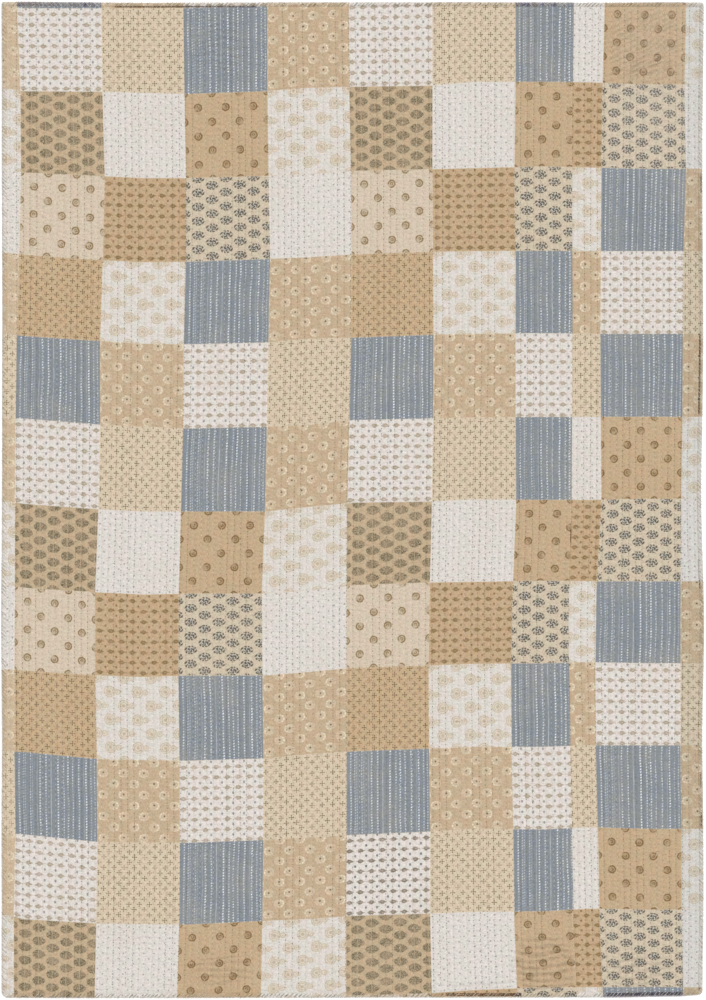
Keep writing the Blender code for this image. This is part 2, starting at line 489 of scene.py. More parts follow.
# the print's own repeat, four squares wide and five long: each square's cloth, and the place of its
# first mark in millimetres from the square's left and top
printRepeat = (
    (("leafWhite", 5.8, 10.8), ("starCream", 3.0, 17.4),
     ("stripeBlue", 0, 0), ("flowerTan", 10.6, 20.4)),
    (("seedTan", 21.0, 2.0), ("dotWhite", 4.0, 6.0),
     ("ringTan", 24.0, 25.4), ("paisleyWhite", 22.4, 28.5)),
    (("ringCream", 24.0, 24.5), ("leafTan", 8.6, 12.8),
     ("bloomCream", 22.0, 1.5), ("dotWhite", 7.0, 2.0)),
    (("starTan", 4.2, 4.2), ("paisleyWhite", 25.3, 27.9),
     ("stripeBlue", 1, 0), ("flowerTan", 10.9, 21.0)),
    (("stripeBlue", 1, 0), ("flowerTan", 11.5, 23.6),
     ("leafWhite", 7.2, 12.8), ("starCream", 4.0, 6.0)),
)
repeatScale = 64.0            # millimetres that a full stop of the repeat's ramp stands for

# lines of the striped cloth: millimetres from the square's left, half width, strength, share that is dotted
stripeLines = (
    (8.0, 1.1, 0.62, 1), (15.6, 0.9, 0.50, 1), (19.0, 0.8, 0.38, 1), (28.4, 1.0, 0.56, 1),
    (32.0, 0.7, 0.32, 1), (40.6, 0.8, 0.30, 0), (46.2, 1.2, 0.72, 1), (57.0, 1.1, 0.66, 1),
    (66.4, 0.8, 0.50, 0), (79.2, 1.2, 0.85, 1), (89.6, 1.0, 0.60, 1), (97.4, 1.2, 0.75, 1),
    (106.0, 0.9, 0.62, 1), (117.0, 1.1, 0.70, 1), (126.4, 0.7, 0.26, 0), (130.4, 1.2, 0.80, 1),
    (139.4, 1.0, 0.48, 1), (146.2, 1.0, 0.50, 1),
)
stripeBead = 5.0              # from dot to dot


def oval(x, y, wide, tall):               # 1 on an oval's edge and less inside it
    return (x / wide).squared() + (y / tall).squared()


# the marks of each cloth, in millimetres from the middle of a mark's own cell
# each gives how much of the mark's colour and of the second colour shows, 0 to 1
def leafMarks(place):                     # almonds pointed to the right, a dot amid each four
    pinch = 1.0 + place["x"].most(0.0) * 0.10
    reach = oval(place["x"], place["y"] * pinch, 6.0, 4.3)
    body = (reach + place["uneven"] * 1.5).soft(1.15, 0.50) * place["patch"].soft(0.35, 0.6, 0.8, 1.08)
    heart = oval(place["x"], place["y"], 2.6, 1.3)
    spurs = abs(place["y"]).soft(1.4, 0.5) * abs(place["x"]).soft(8.6, 7.2) * 0.6
    mark = (body * heart.soft(0.2, 1.1, 0.62, 1.0)).most(spurs)
    besideX = abs(place["x"]) - 9.8
    besideY = abs(place["y"]) - 9.6
    dot = (besideX * besideX + besideY * besideY * 0.6).soft(6.0, 1.5) * 0.8
    return mark, dot


def starMarks(place):                     # a cross of four thin arms
    arm = (place["turn"] * 4.0 + 0.5) % 1.0 - 0.5
    off = abs((arm * (wholeTurn / 4)).sine() * place["reach"])
    dash = (off - place["reach"] * 0.12).soft(0.80, 0.25) * place["reach"].soft(5.0, 4.0)
    dash = dash * abs(place["reach"] - 1.8).soft(0.3, 0.9, 0.5, 1.0)
    return dash * place["patch"].soft(0.3, 0.62, 0.62, 1.0), None


def stripeMarks(place):
    wander = place["squareX"] + (place["drift"] - 0.5) * 5.0
    bead = (place["squareY"] * (wholeTurn / stripeBead) + wander * 0.45).sine() + place["uneven"] * 1.6
    lines = [0.0, 0.0]
    for across, halfWidth, strength, isDotted in stripeLines:
        line = wander.isNear(across, halfWidth * (1.1 if isDotted else 0.8)) * (strength * 0.9)
        lines[isDotted] = line + lines[isDotted]
    plain, dotted = lines
    worn = place["patch"].soft(0.36, 0.58, 0.45, 1.0)
    return (plain + dotted * bead.soft(-0.3, 0.6, 0.10, 1.36)) * worn, None


def flowerMarks(place):                   # pale strokes round a dark dot, brighter on one side
    low = place["y"] - 0.9
    reach = ((place["x"] / 1.27).squared() + low.squared()).root()
    strokes = (place["turn"] * (wholeTurn * 9)).sine() + place["uneven"] * 4.0
    ring = abs(reach - 6.4).soft(2.3, 0.6) * strokes.soft(-0.9, 0.3, 0.40, 0.95)
    side = 1.0 - place["odd"] * 2.0
    lit = (place["x"] * side).soft(4.0, -5.0, 0.42, 1.0)
    fill = reach.soft(6.6, 5.0) * 0.26
    return (ring * lit).most(fill), place["reach"].soft(2.4, 0.9) * 0.9


def paisleyMarks(place):                  # a pale gold rosette with a smaller one and a bud to its right
    rings = (place["reach"] * (wholeTurn / 3.7) + wholeTurn * (1 / 4 - 9.8 / 3.7)).sine()
    bulb = place["reach"].soft(10.9, 10.1) * rings.soft(-0.6, 0.8, 0.26, 0.88)
    small = (place["tailX"].squared() + place["tailY"].squared()).root()
    tail = small.soft(6.3, 5.5) * (small * (wholeTurn / 3.6) + 0.5).sine().soft(-0.6, 0.7, 0.30, 0.80)
    bud = ((place["tailX"] - 7.4).squared() + place["tailY"].squared()).soft(4.6, 1.6) * 0.45
    beyond = place["reach"].soft(10.2, 11.0)
    return bulb.most(tail * beyond).most(bud * beyond), place["reach"].soft(2.3, 1.1) * 0.8


def seedMarks(place):                     # speckled seed heads, pointed to the right
    pinch = 1.0 + place["x"].most(0.0) * 0.028
    reach = oval(place["x"], place["y"] * pinch, 12.2, 8.5)
    body = reach.soft(1.12, 0.80)
    strokes = (place["turn"] * (wholeTurn * 10) + place["reach"] * 0.5).sine() * 0.5
    broken = (strokes + place["uneven"] * 7.0).soft(-0.9, 0.35, 0.34, 1.0)
    spine = abs(place["x"] + 0.8).soft(0.3, 1.1, 0.45, 1.0)
    dark = body * broken * spine * place["patch"].soft(0.32, 0.6, 0.78, 1.05)
    return dark, body * place["speckle"].soft(0.60, 0.72) * 0.75


def bloomMarks(place):                    # round heads of curved dark strokes with a few pale blue ones
    reach = oval(place["x"], place["y"], 11.5, 8.0)
    body = reach.soft(1.10, 0.84)
    outer = (place["turn"] * (wholeTurn * 8) + place["reach"] * 0.6).sine()
    inner = (place["turn"] * (wholeTurn * 3) - place["reach"] * 0.9).sine()
    isInner = reach.soft(0.42, 0.34)
    strokes = mixedNumbers(outer, inner, isInner) + place["uneven"] * 3.2
    gap = abs(reach - 0.40).soft(0.03, 0.10, 0.30, 1.0)
    dark = body * strokes.soft(-0.8, 0.0) * gap
    return dark, body * strokes.soft(-0.5, -1.1) * isInner * 0.85


def dotMarks(place):
    return (place["reach"] + place["uneven"] * 1.8).soft(2.1, 0.8) * 0.75, None


def ringMarks(place):                     # a rim round a curl, each worn open on one side
    wobble = place["reach"] + place["uneven"] * 2.0
    turned = (place["turn"] * wholeTurn + 2.2 + (place["drift"] - 0.5) * 14.0).sine()
    rim = abs(wobble - 6.1).soft(1.8, 0.9) * turned.soft(-1.0, -0.5, 0.40, 1.0)
    curl = abs(wobble - 1.9 - turned * 0.5).soft(1.7, 0.8) * turned.soft(-1.0, -0.4, 0.35, 0.88)
    fill = wobble.soft(7.0, 6.0) * 0.30
    return rim.most(curl).most(fill), None


motifMarks = {
    "leaf": leafMarks, "star": starMarks, "stripe": stripeMarks, "flower": flowerMarks,
    "paisley": paisleyMarks, "seed": seedMarks, "bloom": bloomMarks, "dot": dotMarks, "ring": ringMarks,
}
motifs = list(motifMarks)


# painted shadow lines beside the hem and in the open seam: across and its half width, along and its half
# length, in metres, and strength
paintedShadowLines = (
    (0.331, 0.128, 1.7918, 0.0015, 1.0),
    (1.2670, 0.0013, 1.473, 0.018, 0.8),
    (1.2632, 0.0016, 1.125, 0.072, 1.0),
    (1.2612, 0.0009, 0.772, 0.018, 0.5),
    (1.2626, 0.0013, 0.745, 0.008, 1.0),
    (1.2658, 0.0011, 0.389, 0.015, 0.7),
    (1.2658, 0.0014, 0.3185, 0.013, 1.0),
    (1.2665, 0.0010, 0.094, 0.030, 0.3),
    (0.868, 0.066, 0.0057, 0.0026, 1.0),
    (1.160, 0.073, 0.0057, 0.0026, 1.0),
    (1.0310, 0.0006, 0.835, 0.0120, 1.0),
)

# wrinkles: middle across and along, half lengths of the place, lean in radians, pitch and depth, in metres
# every other one is in the same layer, and no two of a layer touch
wrinkles = (
    (1.160, 1.725, 0.085, 0.075, 0.52, 0.0092, 0.0009),
    (1.165, 1.665, 0.080, 0.050, 0.28, 0.0125, 0.0007),
    (0.855, 0.027, 0.075, 0.010, 0.05, 0.0160, 0.0007),
    (0.975, 0.060, 0.065, 0.065, -0.04, 0.0125, 0.0015),
    (1.150, 0.050, 0.070, 0.038, 0.03, 0.0105, 0.0011),
    (0.400, 0.050, 0.070, 0.035, 0.10, 0.0120, 0.0009),
    (0.395, 1.720, 0.060, 0.060, 0.06, 0.0140, 0.0008),
)
wrinkleShade = 0.130          # how much darker the cloth is down in them, for each millimetre of depth
wrinkleFade = 0.65            # share of the way in over which they reach their depth
wrinkleMargin = 0.02


def wrinklePlaces(across, along, layer):  # a point's place across the wrinkles, and their depth there
    turns = np.zeros(across.shape)
    depths = np.zeros(across.shape)
    for middleAcross, middleAlong, halfAcross, halfAlong, lean, pitch, depth in wrinkles[layer::2]:
        fromX = across - middleAcross
        fromY = along - middleAlong
        isHere = (abs(fromX) < halfAcross + wrinkleMargin) & (abs(fromY) < halfAlong + wrinkleMargin)
        turns = np.where(isHere, (fromY * math.cos(lean) - fromX * math.sin(lean)) / pitch, turns)
        within = 1.0 - (fromX / halfAcross) ** 2 - (fromY / halfAlong) ** 2
        depths += smooth(within / wrinkleFade) * depth / mm
    return np.stack([turns, depths], -1)


# how the printed cloth has aged, how its stitching shows in it, and the tints of the shade painted into its
# lines and wrinkles
agingAndShade = {
    "roughness": 0.92,
    "sheen": 0.08,
    "borderLine": (226, 213, 190),     # pale line round each square
    "borderLineMost": 0.4,
    "faded": (214, 196, 168),
    "fadedMost": 0.10,
    "washedOut": (222, 217, 210),      # a place at the head of the narrow width
    "washedOutAcross": (1.08, 1.14),
    "washedOutAlong": (1.38, 1.62),
    "washedOutMost": 0.10,
    "leftStrip": (228, 210, 184),      # paler printing beside the left hem
    "leftStripShare": 0.30,
    "leftStripSpeckle": 0.5,
    "rightStrip": (0.91, 0.935, 0.95, 1.0),
    "rosy": ((1.03, 0.985, 0.985, 1.0), (0.992, 0.998, 0.975, 1.0)),
    "tanBlotches": ((1.015, 0.995, 0.965, 1.0), (0.985, 1.002, 1.0, 1.0)),
    "blueBlotches": ((0.985, 0.988, 1.025, 1.0), (1.005, 1.008, 0.965, 1.0)),
    "hemOuterPale": (212, 207, 202),
    "sideHem": 0.0125,                 # how far in the hems at the two sides reach
    "hemInky": (0.74, 0.68, 0.80, 1.0),
    "shadowLineOnWhite": (0.21, 0.19, 0.23, 1.0),
    "shadowLineOnTan": (0.23, 0.150, 0.095, 1.0),
    "creaseShade": (0.20, -0.05, -0.60, 1.0),
    "grain": 0.54,
    "darkerSquare": (4.5, 10.5),       # column and row of the middle of one square printed darker
    "weave": 0.0011,                   # from thread to thread
    "weaveDepth": 0.00006,
    "puckerDepth": 0.0030,
    "puckerSpread": (1.0, 2.6, 1.0),   # puckers are short along the rows
    "holeDepth": 0.0005,
    "bump": 0.8,
}
tailShift = 14.6              # millimetres from a rosette to the smaller one on its right

# uneven places in the cloth: how many a metre, roughly, and how finely broken
clothNoises = {
    "speckle": (420.0, 1.0),
    "grain": (310.0, 3.0),
    "patch": (52.0, 2.0),
    "drift": (11.0, 2.0),
    "blotches": (68.0, 1.0),
}
puckerNoise = (62.0, 3.0)


def cotton(name, roughness):              # a matt cotton, its shader and the start of its wires
    material = bpy.data.materials.new(name)
    material.use_nodes = True
    shader = material.node_tree.nodes["Principled BSDF"]
    shader.inputs["Roughness"].default_value = roughness
    return material, shader, Wire(material.node_tree)


def finish(material, shader, colour, bump):
    material.node_tree.links.new(colour.socket, shader.inputs["Base Color"])
    material.node_tree.links.new(bump.socket, shader.inputs["Normal"])
    return material


def printedCotton():                      # the patchwork print, quilted cloth
    material, shader, start = cotton("printedCotton", agingAndShade["roughness"])
    shader.inputs["Sheen Weight"].default_value = agingAndShade["sheen"]
    column, row = start.mapped("printSquares").split()
    columnStart = column.floor()
    rowStart = row.floor()
    square = (columnStart % 4.0 + (rowStart % 5.0) * 4.0 + 0.5) / 20.0
    squares = [square for line in printRepeat for square in line]

    def ramp(colours):
        return start.node("ShaderNodeValToRGB", {"stops": colours}, {"Fac": square})

    def parts(colours):                   # a ramp's red, green and blue as numbers
        red = start.node("ShaderNodeSeparateColor", {}, {"Color": ramp(colours)})
        return red, red.beside(1), red.beside(2)

    grounds, marks, accents = ([dyed(*fabrics[name][part]) for name, _, _ in squares] for part in (1, 2, 3))
    repeats = [fabrics[name][4] for name, _, _ in squares]
    steps = [(stepX / repeatScale, stepY / repeatScale, drop) for stepX, stepY, drop in repeats]
    starts = [((startX / step[0] - 0.5) % 2.0 / 2.0, (startY / step[1] - 0.5) % 1.0,
               motifs.index(fabrics[name][0]) * motifShare)
              for (name, startX, startY), step in zip(squares, repeats)]
    stepsX, stepsY, drop = parts(steps)
    halfStartsX, startsY, kindShare = parts(starts)
    startsX = halfStartsX * 2.0           # an odd column starts past one whole repeat
    kind = kindShare / motifShare

    squareX = (column - columnStart) * squareWide
    squareY = (row - rowStart) * squareLong
    stepX = stepsX * repeatScale
    stepY = stepsY * repeatScale

    def cellAt(shift):                    # place in the marks' own cell, for marks moved to the right
        placeX = (squareX - shift) / stepX - startsX
        cellX = placeX.floor()
        placeY = squareY / stepY - startsY + (cellX % 2.0) * drop
        cellY = placeY.floor()
        return (placeX - cellX - 0.5) * stepX, (placeY - cellY - 0.5) * stepY, cellX % 2.0

    x, y, odd = cellAt(0.0)
    tailX, tailY, _ = cellAt(tailShift)
    rowsMap = start.mapped("clothRows")

    def noise(scale, detail, vector=rowsMap):
        inputs = {"Vector": vector, "Scale": scale, "Detail": detail}
        return start.node("ShaderNodeTexNoise", {"noise_dimensions": "2D"}, inputs)

    speckle, grain, patch, drift, blotches = (noise(*numbers) for numbers in clothNoises.values())
    place = {
        "x": x, "y": y, "odd": odd, "squareX": squareX, "squareY": squareY,
        "reach": (x * x + y * y).root(), "turn": x.math("ARCTAN2", y, x) / wholeTurn,
        "tailX": tailX, "tailY": tailY, "uneven": speckle - 0.5,
        "speckle": speckle, "patch": patch, "drift": drift,
    }
    mark = 0.0
    accent = 0.0
    for index, motif in enumerate(motifs):
        isMotif = kind.isNear(float(index), 0.4)
        motifMark, motifAccent = motifMarks[motif](place)
        mark = motifMark * isMotif + mark
        if motifAccent is not None:
            accent = motifAccent * isMotif + accent
    ground = ramp(grounds)
    colour = mixed(ground, ramp(marks), mark)
    colour = mixed(colour, ramp(accents), accent)

    # pale lines along the borders of the squares
    edgeX = squareX.least(squareWide - squareX)
    edgeY = squareY.least(squareLong - squareY)
    border = edgeX.least(edgeY).soft(1.3, 0.5) * speckle.soft(0.35, 0.6, 0.0, agingAndShade["borderLineMost"])
    colour = mixed(colour, dye(*agingAndShade["borderLine"]), border)

    # slow fading, rosy and yellowed places, and the uneven yarn
    colour = mixed(colour, dye(*agingAndShade["faded"]), drift.soft(0.45, 0.75, 0.0, agingAndShade["fadedMost"]))
    cloth, clothY = rowsMap.split()
    washed = clothY.soft(*agingAndShade["washedOutAlong"], 0.0, agingAndShade["washedOutMost"])
    washed = cloth.soft(*agingAndShade["washedOutAcross"]) * washed
    colour = mixed(colour, dye(*agingAndShade["washedOut"]), washed)
    groundRed = start.node("ShaderNodeSeparateColor", {}, {"Color": ground})
    tanShare = (groundRed.beside(2) / groundRed).soft(0.75, 0.45)
    isStripe = kind.isNear(float(motifs.index("stripe")), 0.4)
    hue = mixed(*agingAndShade["rosy"], patch.soft(0.35, 0.65))
    hue = stained(hue, mixed(*agingAndShade["tanBlotches"], blotches.soft(0.35, 0.65)), tanShare)
    hue = mixed(hue, mixed(*agingAndShade["blueBlotches"], blotches.soft(0.38, 0.62)), isStripe)
    colour = tinted(colour, hue)
    colour = shaded(colour, (grain - 0.5) * agingAndShade["grain"] + 1.0)

    # one square is printed darker than the rest, and the strips beside the hems differ
    isWide = cloth < quilt["seamAcross"]
    middleColumn, middleRow = agingAndShade["darkerSquare"]
    darker = column.isNear(middleColumn, 0.5) * row.isNear(middleRow, 0.5) * isWide
    darker = darker * mark.most(accent).soft(0.1, 0.9)
    colour = shaded(colour, 1.0 - darker * patch.soft(0.3, 0.6, 0.22, 0.42))
    leftStrip = column < 0.0
    colour = mixed(colour, dye(*agingAndShade["leftStrip"]), leftStrip * tanShare * agingAndShade["leftStripShare"])
    colour = shaded(colour, leftStrip * place["uneven"] * agingAndShade["leftStripSpeckle"] + 1.0)
    colour = stained(colour, agingAndShade["rightStrip"], (1.0 - isWide) * (column > 3.0))

    # cloth drawn down between the running stitches, with painted shade in each dimple
    widePlace = (cloth - wideStart) * (wideCount / (wideEnd - wideStart))
    narrowPlace = (cloth - narrowStart) * (narrowCount / (narrowEnd - narrowStart)) + wideCount
    stitchRowPlace = mixedNumbers(narrowPlace, widePlace, isWide)
    fromRow = abs(stitchRowPlace % 1.0 - 0.5) * quilt["rowPitch"]
    alongShare = clothY / stitchPitch - stitchRowPlace.floor() * rowStagger
    fromStitch = abs(alongShare - (alongShare + 0.5).floor()) * stitchPitch
    halfPitch = stitchPitch / 2
    hole = fromRow.soft(0.0014, 0.0005) * fromStitch.soft(halfPitch - 0.0020, halfPitch - 0.0006)
    # painted shade in the dimple where the thread goes down
    colour = shaded(colour, 1.0 - hole * speckle.soft(0.3, 0.6, 0.03, 0.16))

    # hem: painted shade in the grooves under the overcast threads, and a paler outer side of the roll
    groove, hemOut = start.mapped("hemShade").split()
    # the roll's outer side mixed towards a pale colour, in speckled patches
    worn = hemOut.soft(0.25, 0.9) * speckle.soft(0.3, 0.6, 0.45, 0.9)
    colour = mixed(colour, dye(*agingAndShade["hemOuterPale"]), worn)
    atSide = cloth.isNear(0.0, agingAndShade["sideHem"]).most(cloth.isNear(quiltWidth, agingAndShade["sideHem"]))
    # painted shade: the cloth darkened down in the grooves that the overcast threads draw in, less at the
    # two sides
    paintedGrooveShade = groove.soft(0.15, 0.7) * abs(hemOut + 0.15).soft(0.95, 0.45)
    paintedGrooveShade = paintedGrooveShade * patch.soft(0.40, 0.56, 0.2, 1.0) * (1.0 - atSide * (0.75 - tanShare * 0.4))
    inky = isStripe * (abs(hemOut) > 0.001) * patch.soft(0.35, 0.55, 0.3, 1.0)
    colour = stained(colour, agingAndShade["hemInky"], inky)
    colour = shaded(colour, 1.0 - paintedGrooveShade * (speckle.soft(0.3, 0.6, 0.22, 0.76) + isStripe * 0.12))

    # painted shadow in the gap where the hem meets the field, and in the open bit of seam
    shade = 0.0
    for across, halfAcross, along, halfAlong, strength in paintedShadowLines:
        line = cloth.isNear(across, halfAcross) * clothY.isNear(along, halfAlong) * strength
        shade = line.most(shade)
    shadowLineTint = mixed(agingAndShade["shadowLineOnWhite"], agingAndShade["shadowLineOnTan"], tanShare)
    # painted shadow, browner over tan cloth
    colour = stained(colour, shadowLineTint, shade * speckle.soft(0.3, 0.55, 0.4, 0.95))

    # weave, puckers and the longer wrinkles, with painted shade down in the wrinkles
    perThread = wholeTurn / agingAndShade["weave"]
    weave = (cloth * perThread).sine() * (clothY * perThread).sine()
    pucker = noise(*puckerNoise, tinted(rowsMap, agingAndShade["puckerSpread"]))
    relief = weave * agingAndShade["weaveDepth"] + pucker * agingAndShade["puckerDepth"] - hole * agingAndShade["holeDepth"]
    for layer in range(2):
        turns, depth = start.mapped(f"wrinkles{layer}").split()
        phase = turns * wholeTurn + (drift - 0.5) * 15.0 + (patch - 0.5) * 2.0
        fold = phase.sine() * patch.soft(0.3, 0.6, 0.55, 1.0)
        relief = relief + fold * depth * mm
        # painted shade, browner and darker down in each wrinkle
        colour = stained(colour, agingAndShade["creaseShade"], fold.soft(-0.1, -0.9) * depth * wrinkleShade)
    bump = start.node("ShaderNodeBump", {}, {"Height": relief, "Strength": agingAndShade["bump"], "Distance": 1.0})
    return finish(material, shader, colour, bump)


printed = printedCotton()
print("printed cotton mixed:", len(printed.node_tree.nodes), "nodes")


sewing = {
    "roughness": 0.85,
    "worn": (60.0, 2.0),       # worn places: how many a metre, roughly, and how finely broken
    "fibres": (2200.0, 1.0),
    "bump": 0.4,
    "fibreDepth": 0.0004,
}


def threadCotton(name, colour, worn):     # matt sewing thread
    material, shader, start = cotton(name, sewing["roughness"])
    place = start.node("ShaderNodeTexCoord", {}, {}, 3)

    def noise(scale, detail):
        return start.node("ShaderNodeTexNoise", {}, {"Vector": place, "Scale": scale, "Detail": detail})

    blended = mixed(dye(*colour), dye(*worn), noise(*sewing["worn"]).soft(0.35, 0.65))
    inputs = {"Strength": sewing["bump"], "Distance": sewing["fibreDepth"]}
    bump = start.node("ShaderNodeBump", {}, {"Height": noise(*sewing["fibres"]), **inputs})
    return finish(material, shader, blended, bump)


def meshFromArrays(name, points, faces):  # faces are arrays of corners, one array for each count of corners
    mesh = bpy.data.meshes.new(name)
    corners = np.concatenate([part.ravel() for part in faces]).astype(np.int32)
    sizes = np.concatenate([np.full(len(part), part.shape[1]) for part in faces])
    starts = np.concatenate([[0], np.cumsum(sizes)[:-1]]).astype(np.int32)
    mesh.vertices.add(len(points))
    mesh.vertices.foreach_set("co", np.ascontiguousarray(points, np.float32).ravel())
    mesh.loops.add(len(corners))
    mesh.loops.foreach_set("vertex_index", corners)
    mesh.polygons.add(len(starts))
    mesh.polygons.foreach_set("loop_start", starts)
    mesh.update(calc_edges=True)
    mesh.validate()
    mesh.shade_smooth()
    return addObject(name, mesh)


# many short threads with pointed ends, as one mesh
# paths: one row a thread, one point a station; the first and last points are the tips
def threadPieces(name, paths, thickness, sides, material):
    count, stations = paths.shape[:2]
    rings = stations - 2
    run = paths[:, -1] - paths[:, 0]
    beside = np.stack([run[:, 1], -run[:, 0], np.zeros(count)], -1)
    beside /= np.maximum(np.linalg.norm(beside, axis=1, keepdims=True), 1e-9)
    heading = np.gradient(paths, axis=1)[:, 1:-1]
    heading /= np.maximum(np.linalg.norm(heading, axis=2, keepdims=True), 1e-9)
    over = np.cross(beside[:, None], heading)
    turn = math.pi / 2 + np.arange(sides) * wholeTurn / sides
    outX = np.cos(turn)[None, None, :, None] * beside[:, None, None, :]
    outZ = np.sin(turn)[None, None, :, None] * over[:, :, None, :]
    shell = paths[:, 1:-1, None, :] + (outX + outZ) * (thickness / 2)
    points = np.concatenate([paths[:, :1], shell.reshape(count, -1, 3), paths[:, -1:]], 1)
    perThread = points.shape[1]
    first = np.arange(count)[:, None] * perThread
    around = np.arange(sides)
    following = (around + 1) % sides
    tipFaces = np.stack([np.zeros(sides, int), 1 + following, 1 + around], -1)
    last = 1 + (rings - 1) * sides
    endFaces = np.stack([np.full(sides, perThread - 1), last + around, last + following], -1)
    triangles = np.concatenate([tipFaces, endFaces])[None] + first[:, None]
    quads = []
    for ring in range(rings - 1):
        near = 1 + ring * sides
        quads.append(np.stack([near + around, near + following,
                               near + sides + following, near + sides + around], -1))
    faces = [triangles.reshape(-1, 3)]
    if quads:
        faces.append((np.concatenate(quads)[None] + first[:, None]).reshape(-1, 4))
    made = meshFromArrays(name, points.reshape(-1, 3), faces)
    made.data.materials.append(material)
    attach(made, "root")


def panelColumns(isWide):                 # distances across of a width's lengthwise mesh lines
    start, end, count = widthRows(isWide)
    quarters = [start + (end - start) * step / (4 * count) for step in range(4 * count + 1)]
    shoulder = [quilt["seamShoulder"] * share for share in (0.0, 0.2, 0.55)]
    if isWide:
        lines = list(rimSection[:, 0]) + quarters + [quilt["seamAcross"] - step for step in shoulder]
    else:
        lines = [quilt["seamAcross"] + step for step in shoulder] + quarters
        lines += list(quiltWidth - rimSection[:, 0])
    return np.unique(np.round(lines, 7))


def panelStations(count):                 # distances along of its crosswise mesh lines
    hem = list(rimSection[:, 0])
    inner = list(np.linspace(hem[-1], quiltLength - hem[-1], count))[1:-1]
    return np.array(hem + inner + [quiltLength - inset for inset in reversed(hem)])


# UV maps and material of one piece of cloth; flat: each point's place across and along the flat quilt
def dressCloth(piece, flat, hemShade, isWide):
    mesh = piece.data
    for layer in list(mesh.uv_layers):
        mesh.uv_layers.remove(layer)
    corner = np.empty(len(mesh.loops), np.int32)
    mesh.loops.foreach_get("vertex_index", corner)
    placed = np.empty(len(mesh.vertices) * 3, np.float32)
    mesh.vertices.foreach_get("co", placed)
    placed = placed.reshape(-1, 3)
    column, row = printPlace(placed[:, 0], placed[:, 1], isWide)
    maps = {"printSquares": np.stack([column, row], -1), "clothRows": flat, "hemShade": hemShade}
    for layer in range(2):
        maps[f"wrinkles{layer}"] = wrinklePlaces(flat[:, 0], flat[:, 1], layer)
    for name, places in maps.items():
        layer = mesh.uv_layers.new(name=name)
        layer.data.foreach_set("uv", np.ascontiguousarray(places[corner], np.float32).ravel())
    mesh.materials.append(printed)
    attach(piece, "root")


def makePanel(name, isWide):
    acrossLines = panelColumns(isWide)
    alongLines = panelStations(quilt["meshSections"])
    bpy.ops.object.select_all(action="DESELECT")
    bpy.ops.mesh.primitive_grid_add(x_subdivisions=len(acrossLines) - 1, y_subdivisions=len(alongLines) - 1)
    panel = bpy.context.object
    panel.name = name
    mesh = panel.data
    mesh.name = name
    across, along = np.meshgrid(acrossLines, alongLines)
    across = across.ravel()
    along = along.ravel()
    x, y = laidPoint(across, along)
    points = np.stack([x, y, clothHeight(across, along)], -1)
    mesh.vertices.foreach_set("co", points.astype(np.float32).ravel())
    mesh.update()

    bpy.ops.object.mode_set(mode="EDIT")
    bpy.ops.mesh.select_all(action="SELECT")
    bpy.ops.mesh.region_to_loop()
    bpy.ops.mesh.extrude_region_move()
    bpy.ops.transform.resize(value=(1.0, 1.0, 0.0), center_override=(0.0, 0.0, 0.0))
    bpy.ops.mesh.edge_face_add()
    bpy.ops.mesh.select_all(action="SELECT")
    bpy.ops.mesh.normals_make_consistent(inside=False)
    bpy.ops.object.mode_set(mode="OBJECT")

    below = [vert.co for vert in mesh.vertices[len(across):]]
    underside = [(point.x + quiltWidth / 2, point.y + quiltLength / 2) for point in below]
    flat = np.concatenate([np.stack([across, along], -1), underside])
    dressCloth(panel, flat, np.zeros(flat.shape), isWide)
    bpy.ops.object.shade_smooth()
    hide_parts(name.replace("Cloth", ""))
    print(name, "laid,", len(mesh.polygons), "faces")


# rolled hem, overcast with thread, counter-clockwise round the quilt as seen from above
hem = {
    "inset": 0.0042,           # from the edge to the middle of the roll
    "halfWide": 0.0042,
    "halfTall": 0.00195,
    "step": 0.00121,           # between two mesh rings
    "around": 12,
    "arcPoints": 7,            # round each corner, before it is cut into steps
    "plumpStray": 0.05,
    "threadPitch": 0.0070,     # from one overcast thread to the next
    "pitchStray": 0.0020,
    "leanStray": 0.25,
    "grooveWide": 0.0006,      # how far a thread draws the roll in
    "grooveTall": 0.0008,
    "grooveSharp": 2.5,
    "thread": 0.0007,
    "threadSides": 4,
    "crossedLift": 0.0003,     # threads that lean back lie over the others
    "missing": 0.18,           # share of the threads that have worn away
    "worn": 0.45,              # share that have gone grey
}

# where threads lean both ways: first and last place across, at the head
zigzags = ((0.036, 0.181), (0.929, 1.031))

# one overcast thread over the roll: millimetres out from its middle, height
overcastSection = ((3.6, 0.5), (4.5, 1.7), (3.4, 3.6), (0.4, 4.35), (-2.9, 3.7), (-4.6, 2.3), (-5.4, 1.2))


def hemLine(isWide):                      # middle of the roll and the direction outwards, from seam to seam
    inset = hem["inset"]
    direction = 90 if isWide else -90     # in degrees
    line = [(quilt["seamAcross"], quiltLength - inset if isWide else inset, direction)]
    for isHead in (isWide, not isWide):
        radius = max(cornerRadius[isHead][not isWide], inset)
        across = radius if isWide else quiltWidth - radius
        along = quiltLength - radius if isHead else radius
        reach = radius - inset
        for turn in np.linspace(direction, direction + 90, hem["arcPoints"]):
            out = math.radians(turn)
            line.append((across + reach * math.cos(out), along + reach * math.sin(out), turn))
        direction += 90
    line.append((quilt["seamAcross"], inset if isWide else quiltLength - inset, direction))
    line = np.array(line) * (1.0, 1.0, math.pi / 180)
    dense = []
    for near, far in zip(line, line[1:]):
        reach = math.dist(near[:2], far[:2]) + abs(far[2] - near[2]) * hem["halfWide"]
        steps = max(1, round(reach / hem["step"]))
        dense.append(near + (far - near) * (np.arange(steps) / steps)[:, None])
    line = np.concatenate(dense + [line[-1:]])
    reach = np.hypot(*np.diff(line[:, :2], axis=0).T) + abs(np.diff(line[:, 2])) * hem["halfWide"]
    run = np.concatenate([[0.0], np.cumsum(reach)])
    return line, run


def uneven(run):                          # the overcasting's own measure: its threads are never quite even
    return run + hem["pitchStray"] * (np.sin(run * 31.0) + 0.7 * np.sin(run * 83.0 + 1.0))


